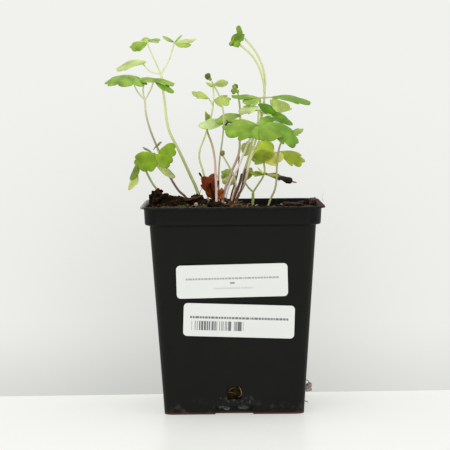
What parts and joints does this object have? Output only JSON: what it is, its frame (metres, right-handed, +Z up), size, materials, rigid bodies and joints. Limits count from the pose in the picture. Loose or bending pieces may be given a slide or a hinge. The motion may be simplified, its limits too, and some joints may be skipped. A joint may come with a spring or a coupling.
{
  "type": "potted columbine",
  "caption": "Young columbine plant with lobed leaves on slender stalks, growing in a square black nursery pot with blank labels.",
  "frame": {"origin": "middle of the pot's foot, on the surface it stands on", "axes": "+Z up; +X to the right seen from the labelled front; the front faces -Y"},
  "size_m": [0.1089, 0.09, 0.1906],
  "materials": {
    "pot_plastic": "satin",
    "label_paper": "semi-gloss film",
    "potting_soil": "rough, damp",
    "green_leaf": "soft leaf sheen",
    "deep_green_leaf": "soft leaf sheen",
    "yellow_green_leaf": "soft leaf sheen",
    "olive_leaf": "soft leaf sheen",
    "dead_leaf": "dry, matt",
    "bare_stem": "matt"
  },
  "bodies": {
    "root": {"pot": "pot_plastic", "label_upper": "label_paper", "label_lower": "label_paper", "soil": "potting_soil", "leaf_tall_left": "green_leaf", "leaf_mid_left": "green_leaf", "leaf_low_left": "green_leaf", "leaf_young_centre": "green_leaf", "leaf_slender": "yellow_green_leaf", "leaf_furled": "deep_green_leaf", "leaf_unfolding": "olive_leaf", "leaf_front": "green_leaf", "leaf_mid_right": "deep_green_leaf", "leaf_top_right": "deep_green_leaf", "leaf_nodding": "deep_green_leaf", "leaf_far_right": "green_leaf", "leaf_yellowing": "yellow_green_leaf", "leaf_low_round": "green_leaf", "leaf_furled_low": "olive_leaf", "leaf_dead": "dead_leaf", "stem_bare": "bare_stem"}
  },
  "joints": []
}
